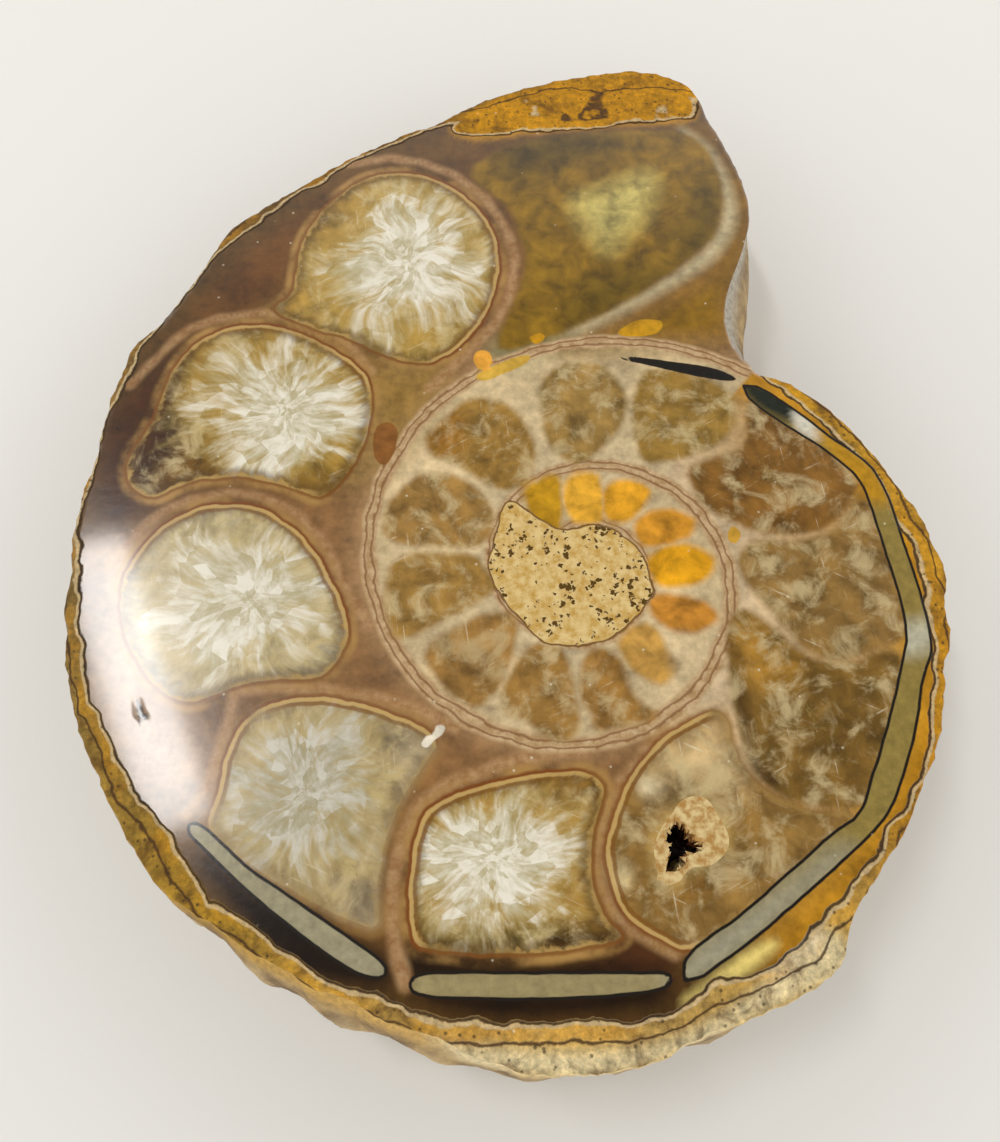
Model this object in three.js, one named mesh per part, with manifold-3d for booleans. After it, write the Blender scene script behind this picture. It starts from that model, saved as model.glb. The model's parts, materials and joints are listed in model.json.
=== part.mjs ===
// Half of an ammonite fossil, sawn along the middle plane of its coil and polished.
// It lies on its natural flank with the cut face up. Millimetres, +Z up, +Y towards the mouth of the coil.
// Angles are degrees, anticlockwise from +X seen from above. The shell grew clockwise: angles fall with growth.
import * as THREE from 'three';
import { mergeVertices } from 'three/addons/utils/BufferGeometryUtils.js';
import Module from 'manifold-3d';

const wasm = await Module();
wasm.setup();

// Driving dimensions of the coil
const WALL_RADIUS = 33.1;       // from the coil's axis to the shell wall along +X, where the last turn begins
const WHORL_EXPANSION = 2.33;   // how many times larger the coil is after each full turn
const THICKNESS = 15;           // polished face to the surface the fossil lies on

// Rind of iron-stained stone outside the shell wall: angle, thickness and how far the side flares below it
const RIND = [
  [49, 0.6, 1.0], [41, 1.8, 0.8], [21, 2.0, 0.6], [0, 3.0, 0.5], [-9, 1.7, 0.5], [-12, 2.2, 0.4],
  [-16, 1.2, 0.5], [-29, 1.5, 0.5], [-37, 1.1, 0.6], [-54, 1.5, 0.6], [-58, 2.7, 0.3], [-60, 4.3, 0.2],
  [-64, 4.0, 0.4], [-77, 3.3, 0.7], [-86, 4.0, 0.5], [-95, 4.0, 0.6], [-101, 3.3, 1.3], [-108, 1.8, 2.2],
  [-118, 1.1, 2.4], [-134, 1.8, 1.5], [-142, 3.0, 0.6], [-155, 2.4, 0.6], [-166, 2.4, 0.6], [-179, 1.3, 0.7],
  [-194, 0.3, 0.9], [-204, 1.3, 0.8], [-209, 1.4, 0.7], [-212, 0.4, 0.9], [-220, 0.4, 0.9], [-226, 2.2, 0.6],
  [-235, 1.1, 0.7], [-254, 0.8, 0.7], [-262, 2.8, 0.6], [-273, 4.4, 0.5], [-278, 4.8, 0.5], [-281, 3.9, 0.5],
];
const RIND_STEP = 2;            // degrees between the points of the outline

// The mouth, where the last turn was ground off to a hollow end: angle, radius and flare
const MOUTH = [
  [-283.2, 66.5, 0.5], [-286.6, 61.1, 0.6], [-290.7, 55.8, 0.7], [-294.2, 50.6, 0.9], [-295.3, 47.7, 1.4],
  [-296.0, 43.0, 2.6], [-296.4, 38.6, 3.6], [-297.4, 35.6, 4.0], [-299.5, 33.1, 3.6], [-303, 31.6, 2.4],
];
const MOUTH_FACING = -26;

// Heights of the side wall below the face, and the worn ring on the flank that the fossil lies on
const EDGE_ROUND = 0.5;
const EDGE_FLARE = 0.1;         // share of the flare that the rounded edge has
const BULGE_DEPTH = 2.5;
const BULGE_FLARE = 0.75;
const BULGE_RIB = 0.5;          // share of the ribs' height there
const GIRDLE_DEPTH = 6;
const FACE_MIDDLE = 0.5;        // share of the radius where the face has a ring of vertices
const SEAT_OUTER = 0.66;        // shares of the radius
const SEAT_INNER = 0.42;
const FLANK_STEPS = 6;

// The umbilicus: the sunken middle of the flank, where the earlier turns show. Share of the radius and height
const UMBILICUS = [
  [0.36, 0.5], [0.315, 2.0], [0.29, 4.4], [0.25, 4.2], [0.20, 3.8], [0.155, 4.5], [0.135, 6.4], [0.10, 5.9],
  [0.06, 6.6], [0, 7.2],
];

// Growth ribs across the flank
const RIBS_PER_TURN = 34;
const RIB_HEIGHT = 0.4;
const RIB_SWEEP = 1.3;          // radians that a rib trails from the wall to the seat

const RIM_STEPS = 180;          // vertices around the outline

// Open pocket in one chamber, and the crust of dog-tooth calcite that lines it
const POCKET_RADIUS = 27.6;     // from the coil's axis
const POCKET_ANGLE = -71.8;
const POCKET_SIZE = new THREE.Vector3(3.4, 3.8, 5.6);
const POCKET_SINK = 0.6;        // centre of the pocket below the face
const POCKET_LUMPS = 5;         // lobes around its uneven wall
const LUMP_HEIGHT = 0.07;       // share of the pocket's radius
const CRUST_GAP = 0.3;
const CRUST_WALL = 0.5;
const CRYSTAL_RINGS = [
  { height: 0.05, count: 13, length: 1.5, width: 0.62 },
  { height: -0.4, count: 12, length: 1.7, width: 0.7 },
  { height: -0.75, count: 8, length: 1.6, width: 0.7 },
];
const CRYSTAL_SIDES = 5;
const CRYSTAL_ROOT = 0.35;      // how deep a crystal's foot is sunk in the crust
const CRYSTAL_MEAN = 0.75;      // share of its ring's length that a crystal has on average
const CRYSTAL_SPREAD = 0.35;    // how far single crystals differ from that
const GOLDEN_ANGLE = 137.5;     // turn that keeps neighbouring crystals unlike

const radians = THREE.MathUtils.degToRad;

function polar(radius, angle) {
  return new THREE.Vector3(radius * Math.cos(radians(angle)), radius * Math.sin(radians(angle)), 0);
}

// Logarithmic spiral of the shell wall
function wallRadius(angle) {
  return WALL_RADIUS * WHORL_EXPANSION ** (-angle / 360);
}

// Thickness and flare of the rind at an angle, straight between the listed ones
function rindAt(angle) {
  const after = Math.max(1, RIND.findIndex((knot) => knot[0] <= angle));
  const [from, to] = [RIND[after - 1], RIND[after]];
  const share = (angle - from[0]) / (to[0] - from[0]);
  return {
    thickness: THREE.MathUtils.lerp(from[1], to[1], share),
    flare: THREE.MathUtils.lerp(from[2], to[2], share),
  };
}

// Closed curves of the polished face's edge and of the widest line of the side wall below it
function rimCurves() {
  const edge = [];
  const girdle = [];
  for (let angle = RIND[0][0]; angle >= RIND.at(-1)[0]; angle -= RIND_STEP) {
    const { thickness, flare } = rindAt(angle);
    edge.push(polar(wallRadius(angle) + thickness, angle));
    girdle.push(polar(wallRadius(angle) + thickness + flare, angle));
  }
  MOUTH.forEach(([angle, radius, flare]) => {
    edge.push(polar(radius, angle));
    girdle.push(polar(radius, angle).add(polar(flare, MOUTH_FACING)));
  });
  return { edge: new THREE.CatmullRomCurve3(edge, true), girdle: new THREE.CatmullRomCurve3(girdle, true) };
}

// Rows of the surface from the middle of the face, over the rim and under the flank to the umbilicus.
// A row lies at a share of the radius, on the face's edge (girdle 0) or on the girdle below it (girdle 1).
function surfaceRows() {
  const face = [
    { share: 0, inset: 0, girdle: 0, height: THICKNESS, rib: 0 },
    { share: FACE_MIDDLE, inset: 0, girdle: 0, height: THICKNESS, rib: 0 },
    { share: 1, inset: EDGE_ROUND, girdle: 0, height: THICKNESS, rib: 0 },
  ];
  const wall = [
    { share: 1, inset: 0, girdle: EDGE_FLARE, height: THICKNESS - EDGE_ROUND, rib: 0 },
    { share: 1, inset: 0, girdle: BULGE_FLARE, height: THICKNESS - BULGE_DEPTH, rib: BULGE_RIB },
  ];
  const girdleHeight = THICKNESS - GIRDLE_DEPTH;
  const flank = Array.from({ length: FLANK_STEPS }, (_, step) => {
    const turn = (step / FLANK_STEPS) * Math.PI / 2;
    return {
      share: SEAT_OUTER + (1 - SEAT_OUTER) * Math.cos(turn),
      inset: 0,
      girdle: 1,
      height: girdleHeight * (1 - Math.sin(turn)),
      rib: Math.cos(turn),
    };
  });
  const seat = [SEAT_OUTER, SEAT_INNER].map((share) => ({ share, inset: 0, girdle: 1, height: 0, rib: 0 }));
  const umbilicus = UMBILICUS.map(([share, height]) => ({ share, inset: 0, girdle: 1, height, rib: 0 }));
  return [...face, ...wall, ...flank, ...seat, ...umbilicus];
}

// The lathed rows, each vertex moved out from the axis to its place on the spiral outline
function fossilGeometry() {
  const { edge, girdle } = rimCurves();
  const rows = surfaceRows();
  const turned = rows.map((row) => new THREE.Vector2(row.share, row.height));
  const geometry = new THREE.LatheGeometry(turned, RIM_STEPS);
  const position = geometry.attributes.position;
  for (let step = 0; step <= RIM_STEPS; step += 1) {
    const place = edge.getUtoTmapping((step % RIM_STEPS) / RIM_STEPS);
    const edgePoint = edge.getPoint(place);
    const girdlePoint = girdle.getPoint(place);
    const ribPhase = RIBS_PER_TURN * Math.atan2(edgePoint.y, edgePoint.x);
    rows.forEach((row, index) => {
      const point = edgePoint.clone().lerp(girdlePoint, row.girdle).multiplyScalar(row.share);
      const rib = row.rib * RIB_HEIGHT * Math.cos(ribPhase + RIB_SWEEP * row.rib);
      point.setLength(point.length() - row.inset + rib);
      position.setXYZ(step * rows.length + index, point.x, point.y, row.height);
    });
  }
  return geometry;
}

function toSolid(geometry) {
  const bare = geometry.clone();
  bare.deleteAttribute('normal');
  bare.deleteAttribute('uv');
  const merged = mergeVertices(bare, 1e-4);
  const corners = Array.from(merged.index.array);
  const triangles = [];
  for (let i = 0; i < corners.length; i += 3) {
    const [a, b, c] = corners.slice(i, i + 3);
    if (a !== b && b !== c && c !== a) triangles.push(a, b, c);
  }
  return new wasm.Manifold(new wasm.Mesh({
    numProp: 3,
    vertProperties: new Float32Array(merged.attributes.position.array),
    triVerts: new Uint32Array(triangles),
  }));
}

function toGeometry(solid) {
  const mesh = solid.getMesh();
  const geometry = new THREE.BufferGeometry();
  geometry.setAttribute('position', new THREE.BufferAttribute(mesh.vertProperties, 3));
  geometry.setIndex(new THREE.BufferAttribute(mesh.triVerts, 1));
  geometry.computeVertexNormals();
  return geometry;
}

const pocketCentre = polar(POCKET_RADIUS, POCKET_ANGLE).setZ(THICKNESS - POCKET_SINK);

// Uneven egg-shaped hollow, smaller all round by the inset
function pocketSolid(inset) {
  const geometry = new THREE.IcosahedronGeometry(1, 2);
  const position = geometry.attributes.position;
  for (let i = 0; i < position.count; i += 1) {
    const corner = new THREE.Vector3().fromBufferAttribute(position, i);
    const lobes = Math.sin(POCKET_LUMPS * Math.atan2(corner.y, corner.x));
    corner.multiplyScalar(1 + LUMP_HEIGHT * lobes * (1 - corner.z ** 2));
    position.setXYZ(i, corner.x, corner.y, corner.z);
  }
  geometry.scale(POCKET_SIZE.x - inset, POCKET_SIZE.y - inset, POCKET_SIZE.z - inset);
  geometry.translate(pocketCentre.x, pocketCentre.y, pocketCentre.z);
  return toSolid(geometry);
}

// One pointed crystal, its foot in the crust and its tip towards the pocket's middle
function crystalSolid(direction, length, width) {
  const inset = CRUST_GAP + CRUST_WALL - CRYSTAL_ROOT;
  const foot = new THREE.Vector3(
    direction.x * (POCKET_SIZE.x - inset),
    direction.y * (POCKET_SIZE.y - inset),
    direction.z * (POCKET_SIZE.z - inset),
  );
  const geometry = new THREE.ConeGeometry(width, length, CRYSTAL_SIDES);
  geometry.translate(0, length / 2, 0);
  const inward = foot.clone().negate().normalize();
  geometry.applyQuaternion(new THREE.Quaternion().setFromUnitVectors(new THREE.Vector3(0, 1, 0), inward));
  geometry.translate(pocketCentre.x + foot.x, pocketCentre.y + foot.y, pocketCentre.z + foot.z);
  return toSolid(geometry);
}

// Crust of crystals, ground off level with the polished face
function crustSolid() {
  let crust = pocketSolid(CRUST_GAP).subtract(pocketSolid(CRUST_GAP + CRUST_WALL));
  CRYSTAL_RINGS.forEach((ring, level) => {
    const around = Math.sqrt(1 - ring.height ** 2);
    for (let i = 0; i < ring.count; i += 1) {
      const angle = (i + level / 2) * (360 / ring.count);
      const direction = polar(around, angle).setZ(ring.height);
      const unlike = CRYSTAL_MEAN + CRYSTAL_SPREAD * Math.sin(radians(GOLDEN_ANGLE * (i + level)));
      crust = crust.add(crystalSolid(direction, ring.length * unlike, ring.width));
    }
  });
  const below = new THREE.BoxGeometry(4 * POCKET_SIZE.x, 4 * POCKET_SIZE.y, THICKNESS);
  below.translate(pocketCentre.x, pocketCentre.y, THICKNESS / 2);
  return crust.intersect(toSolid(below));
}

const polishedFossil = new THREE.MeshStandardMaterial({ color: 0x8a6a42, roughness: 0.2, metalness: 0 });
const calciteCrystal = new THREE.MeshStandardMaterial({ color: 0xe3cf9b, roughness: 0.35, metalness: 0 });

const fossil = new THREE.Mesh(toGeometry(toSolid(fossilGeometry()).subtract(pocketSolid(0))), polishedFossil);
fossil.name = 'ammonite_half';

const crust = new THREE.Mesh(toGeometry(crustSolid()), calciteCrystal);
crust.name = 'pocket_crystals';

// The origin is under the middle of the fossil's box, on the surface it lies on
const ammonite = new THREE.Group();
ammonite.add(fossil, crust);
const middle = new THREE.Box3().setFromObject(fossil).getCenter(new THREE.Vector3());
ammonite.position.set(-middle.x, -middle.y, 0);

export default ammonite;
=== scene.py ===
import json

import bpy
import numpy as np
from mathutils import Matrix


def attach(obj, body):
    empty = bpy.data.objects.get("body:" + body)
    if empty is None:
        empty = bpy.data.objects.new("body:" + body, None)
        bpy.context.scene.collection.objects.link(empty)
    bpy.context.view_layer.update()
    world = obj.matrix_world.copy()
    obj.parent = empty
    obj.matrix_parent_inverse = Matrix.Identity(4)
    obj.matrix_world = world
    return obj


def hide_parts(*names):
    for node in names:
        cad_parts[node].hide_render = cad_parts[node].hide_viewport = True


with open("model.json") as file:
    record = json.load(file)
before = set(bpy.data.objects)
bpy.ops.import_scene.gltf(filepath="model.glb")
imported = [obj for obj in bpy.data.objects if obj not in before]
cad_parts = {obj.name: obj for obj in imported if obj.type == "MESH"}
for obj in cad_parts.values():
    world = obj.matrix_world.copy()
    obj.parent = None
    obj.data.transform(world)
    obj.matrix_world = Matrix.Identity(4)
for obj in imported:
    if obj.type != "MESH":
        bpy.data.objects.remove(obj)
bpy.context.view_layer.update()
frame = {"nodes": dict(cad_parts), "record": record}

# The view: the slice lies on a pale table and is looked down on from close by, so its near side looks
# larger. The same view carries a pixel of the photograph, 1000 across and 1142 down, to the point of the
# cut face that it shows. Places on the face are in millimetres about the coil's axis, which the cut_face
# mount marks.
MM = 0.001
VIEW_ELEVATION = np.radians(68.6)
VIEW_DISTANCE = 93.7
VIEW_FOCAL_PX = 937
VIEW_TALL_PX = 1142
VIEW_CENTRE_PX = np.array([500, VIEW_TALL_PX / 2])
VIEW_AIM = np.array([-8.586, -0.297, 0])

mounts = {mount["name"]: np.array(mount["pos_m"]) for mount in frame["record"]["mounts"]}
AXIS = mounts["cut_face"]
eye = VIEW_AIM + VIEW_DISTANCE * np.array([0, -np.cos(VIEW_ELEVATION), np.sin(VIEW_ELEVATION)])


def on_face(pixels):
    """Points of the face seen at these pixels: each sight line runs from the eye down to the plane of the
    face."""
    across, down = (np.asarray(pixels, float) - VIEW_CENTRE_PX).T / VIEW_FOCAL_PX
    sine, cosine = np.sin(VIEW_ELEVATION), np.cos(VIEW_ELEVATION)
    sight = np.stack([across, cosine - down * sine, -sine - down * cosine], axis=-1)
    return eye[:2] - sight[:, :2] * eye[2] / sight[:, 2:]


lens = bpy.data.cameras.new("view")
lens.sensor_width = 36
lens.lens = lens.sensor_width * VIEW_FOCAL_PX / VIEW_TALL_PX
lens.clip_start = MM
camera = bpy.data.objects.new("view", lens)
camera.location = AXIS + eye * MM
camera.rotation_euler = (np.pi / 2 - VIEW_ELEVATION, 0, 0)
bpy.context.scene.collection.objects.link(camera)
bpy.context.scene.camera = camera

# The fossil half: an ammonite sawn through its coil and polished flat, shell and stone fillings as one
# piece. The cut edge is the broken, unpolished rind; the back is the fossil's own ribbed flank with the
# dished umbilicus.
WALL_RADIUS = 33.1
WHORL_EXPANSION = 2.33
NOTCH_ANGLE = 51
MOUTH_ANGLE = -285
THICKNESS = 15
GIRDLE_DEPTH = 6
EDGE_ROUND = 0.45
SEAT_OUTER = 0.66
SEAT_INNER = 0.42
UMBILICUS = [(0.36, 0.5), (0.315, 2.0), (0.29, 4.4), (0.25, 4.2), (0.20, 3.8), (0.155, 4.5), (0.135, 6.4),
             (0.10, 5.9), (0.06, 6.6)]
UMBILICUS_ROOF = 7.2
RIBS_PER_TURN = 34
RIB_HEIGHT = 0.45
RIB_SWEEP = 1.3
COLUMNS = 560
FACE_ROWS = 112
ROUND_ROWS = 4
TOP_ROWS = FACE_ROWS + ROUND_ROWS
WALL_ROWS = 14
FLANK_ROWS = 16
BACK_ROWS = 20

cad_mesh = frame["nodes"]["ammonite_half"].data
cad_points = np.empty(len(cad_mesh.vertices) * 3)
cad_mesh.vertices.foreach_get("co", cad_points)
cad_points = (cad_points.reshape(-1, 3) - AXIS) / MM


def turn_of(points):
    """Degrees round the axis, from the notch by the mouth downwards, so they fall as the shell grew."""
    turn = np.degrees(np.arctan2(points[:, 1], points[:, 0]))
    return np.where(turn > NOTCH_ANGLE, turn - 360, turn)


def whorls_of(points):
    """Whorls outside the last wall: the log of the radius to the whorl's expansion, less the wall's own
    growth."""
    return np.log(np.hypot(*points.T) / WALL_RADIUS) / np.log(WHORL_EXPANSION) + turn_of(points) / 360


def cad_rim(depth):
    """The solid's outermost corners at one depth below the face, in order round the axis. The mouth's
    corners lie inside the wall's own spiral, and the pocket's, nowhere near it, are left out."""
    rim = cad_points[np.abs(cad_points[:, 2] + depth) < 0.02][:, :2]
    rim = rim[(whorls_of(rim) > -0.2) | (turn_of(rim) < MOUTH_ANGLE)]
    rim = np.unique(np.round(rim, 3), axis=0)
    return rim[np.argsort(-turn_of(rim))]


def smooth_loop(corners, count, steps=8):
    """A closed curve of evenly spaced points through corners: between two of them the Catmull-Rom cubic,
    whose slope at a corner runs along the line between its two neighbours."""
    before, start, end, after = (np.roll(corners, shift, axis=0)[:, None] for shift in (1, 0, -1, -2))
    t = np.linspace(0, 1, steps, endpoint=False)[:, None]
    bend = (2 * before - 5 * start + 4 * end - after) * t + (3 * start - before - 3 * end + after) * t**2
    curve = (start + 0.5 * t * (end - before + bend)).reshape(-1, 2)
    curve = np.vstack([curve, curve[:1]])
    length = np.append(0, np.cumsum(np.hypot(*np.diff(curve, axis=0).T)))
    even = np.linspace(0, length[-1], count, endpoint=False)
    return np.stack([np.interp(even, length, curve[:, axis]) for axis in (0, 1)], axis=-1)


def roughness(points, size, seed):
    """Even random relief from -1 to 1: the mean of many sine waves of random direction, about size mm
    long."""
    random = np.random.default_rng(seed)
    waves = random.normal(size=(28, points.shape[-1]))
    waves *= (2 * np.pi / (size * random.uniform(0.6, 1.8, 28)) / np.linalg.norm(waves, axis=1))[:, None]
    return np.sin(points @ waves.T + random.uniform(0, 2 * np.pi, 28)).mean(axis=-1) * 3.2


def signed_distance(points, outline, reach=4, closed=True):
    """Millimetres from each point to an outline, negative inside a closed one, up to reach: the least
    distance to any of its sides, and inside where a level line to the right crosses an odd number of
    them."""
    start, end = outline, np.roll(outline, -1, axis=0)
    if not closed:
        start, end = outline[:-1], outline[1:]
    distance = np.full(len(points), float(reach))
    near = np.all((points > outline.min(axis=0) - reach) & (points < outline.max(axis=0) + reach), axis=1)
    side = end - start
    offset = points[near, None] - start
    along = np.clip((offset * side).sum(axis=-1) / (side**2).sum(axis=-1), 0, 1)
    least = np.linalg.norm(offset - along[..., None] * side, axis=-1).min(axis=1)
    if closed:
        height = points[near, None, 1]
        rise = np.where(np.abs(side[:, 1]) < 1e-9, 1e-9, side[:, 1])
        crosses = (start[:, 1] > height) != (end[:, 1] > height)
        beyond = start[:, 0] + (height - start[:, 1]) / rise * side[:, 0] > points[near, None, 0]
        least = np.where((crosses & beyond).sum(axis=1) % 2 == 1, -least, least)
    distance[near] = np.minimum(least, reach)
    return distance


edge = smooth_loop(cad_rim(0.5), COLUMNS)
girdle_corners = cad_rim(GIRDLE_DEPTH)
girdle_corners = np.mean([np.roll(girdle_corners, shift, axis=0) for shift in range(-2, 3)], axis=0)
girdle = smooth_loop(girdle_corners, COLUMNS)
outward = edge / np.hypot(*edge.T)[:, None]
edge = edge + outward * (0.14 * roughness(edge, 1.5, 3) + 0.2 * roughness(edge, 5, 4))[:, None]
lip = edge - outward * EDGE_ROUND

face_share = np.arange(1, FACE_ROWS + 1)[:, None, None] / FACE_ROWS
face = np.concatenate([lip * face_share, np.zeros((FACE_ROWS, COLUMNS, 1))], axis=2)
round_turn = np.linspace(0, np.pi / 2, ROUND_ROWS + 1)[1:, None, None]
rounding = np.concatenate([lip + (edge - lip) * np.sin(round_turn),
                           np.broadcast_to(-EDGE_ROUND * (1 - np.cos(round_turn)),
                                           (ROUND_ROWS, COLUMNS, 1))], axis=2)
wall_share = np.linspace(0, 1, WALL_ROWS + 1)[1:, None, None]
wall = np.concatenate([edge + (girdle - edge) * np.sin(wall_share * np.pi / 2)**0.8,
                       np.broadcast_to(-EDGE_ROUND - (GIRDLE_DEPTH - EDGE_ROUND) * wall_share,
                                       (WALL_ROWS, COLUMNS, 1))], axis=2)
flank_turn = np.linspace(0, np.pi / 2, FLANK_ROWS + 1)[1:, None, None]
flank_share = SEAT_OUTER + (1 - SEAT_OUTER) * np.cos(flank_turn)
flank_drop = GIRDLE_DEPTH + (THICKNESS - GIRDLE_DEPTH) * np.sin(flank_turn)
flank = np.concatenate([girdle * flank_share, np.broadcast_to(-flank_drop, (FLANK_ROWS, COLUMNS, 1))],
                       axis=2)
dish_share, dish_height = np.array(UMBILICUS).T
back_share = np.append(np.linspace(SEAT_OUTER, SEAT_INNER, 4)[1:], np.linspace(0.38, 0.03, BACK_ROWS))
back_height = np.interp(-back_share, -np.append(dish_share, 0), np.append(dish_height, UMBILICUS_ROOF))
back_height = np.where(back_share > 0.4, 0, back_height)[:, None, None]
back = np.concatenate([girdle * back_share[:, None, None],
                       np.broadcast_to(back_height - THICKNESS, (len(back_share), COLUMNS, 1))], axis=2)

surface = np.concatenate([face, rounding, wall, flank, back])
rib_share = np.concatenate([np.zeros(TOP_ROWS), wall_share[:, 0, 0], np.cos(flank_turn[:, 0, 0])**0.7,
                            np.zeros(len(back_share))])[:, None]
rib_lag = np.concatenate([np.ones(TOP_ROWS + WALL_ROWS), np.cos(flank_turn[:, 0, 0]),
                          np.zeros(len(back_share))])[:, None]
ribs = np.cos(RIBS_PER_TURN * np.arctan2(surface[..., 1], surface[..., 0]) + RIB_SWEEP * rib_lag)
lumps = 0.30 * roughness(surface, 4.5, 5) + 0.14 * roughness(surface, 1.6, 6)
swell = rib_share * (RIB_HEIGHT * ribs + lumps)
surface[..., :2] *= 1 + (swell / np.hypot(surface[..., 0], surface[..., 1]))[..., None]
surface[-BACK_ROWS:, :, 2] += 0.25 * roughness(surface[-BACK_ROWS:], 3.5, 7)

top = surface[:TOP_ROWS].reshape(-1, 3)
# The middle of the face comes last, a hair off the axis, where the spiral has no end.
points = np.vstack([top[:, :2], [(0.001, 0.001)]])
whorls = whorls_of(points)
turn = turn_of(points)


def linear(code):
    """The linear colour of an sRGB hex code: each channel is undone from the sRGB curve."""
    value = np.array([int(code[i:i + 2], 16) for i in (1, 3, 5)]) / 255
    return np.where(value > 0.04045, ((value + 0.055) / 1.055)**2.4, value / 12.92)


def ramp(at, stops):
    """Colours along stops of (place, hex code), blended evenly between two of them."""
    places = [place for place, code in stops]
    colours = np.array([linear(code) for place, code in stops])
    return np.stack([np.interp(at, places, colours[:, channel]) for channel in range(3)], axis=-1)


def lay(ground, colour, cover):
    """A colour laid over the ground colours, as far as cover, from 0 to 1, hides them."""
    cover = np.clip(cover, 0, 1)[:, None]
    return ground * (1 - cover) + linear(colour) * cover


def patch(ground, colour, softness, pixels, strength=1.0):
    """A stain laid over the ground inside an outline traced on the photograph, fading over softness mm."""
    distance = signed_distance(points, smooth_loop(on_face(pixels), 60))
    return lay(ground, colour, strength * (0.5 - distance / softness))


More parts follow.
